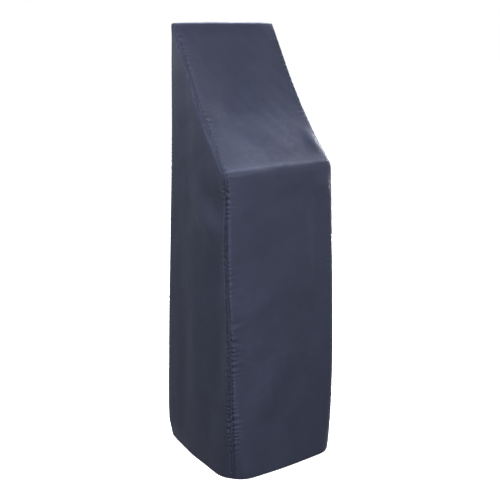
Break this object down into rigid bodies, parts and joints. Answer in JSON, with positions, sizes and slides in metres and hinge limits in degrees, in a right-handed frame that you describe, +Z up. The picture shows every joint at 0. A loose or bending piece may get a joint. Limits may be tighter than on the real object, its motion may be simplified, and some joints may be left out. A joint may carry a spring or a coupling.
{
  "type": "stacking chair cover",
  "caption": "Tall fitted cloth cover for a stack of chairs: a strip runs up the front, over a slope and down the back between side panels, open at the hem.",
  "frame": {"origin": "underside of the round top fold, halfway along it, where the uppermost chair back carries the cover", "axes": "+Z up, -Y the way the sloped front faces, +X to the right as seen from the front"},
  "size_m": [0.5296, 0.5517, 1.6984],
  "materials": {
    "coated_cloth": "dark slate-blue polyester with a smooth satin coating"
  },
  "bodies": {
    "root": {"centre_strip": "coated_cloth", "side_left": "coated_cloth", "side_right": "coated_cloth"}
  },
  "joints": []
}
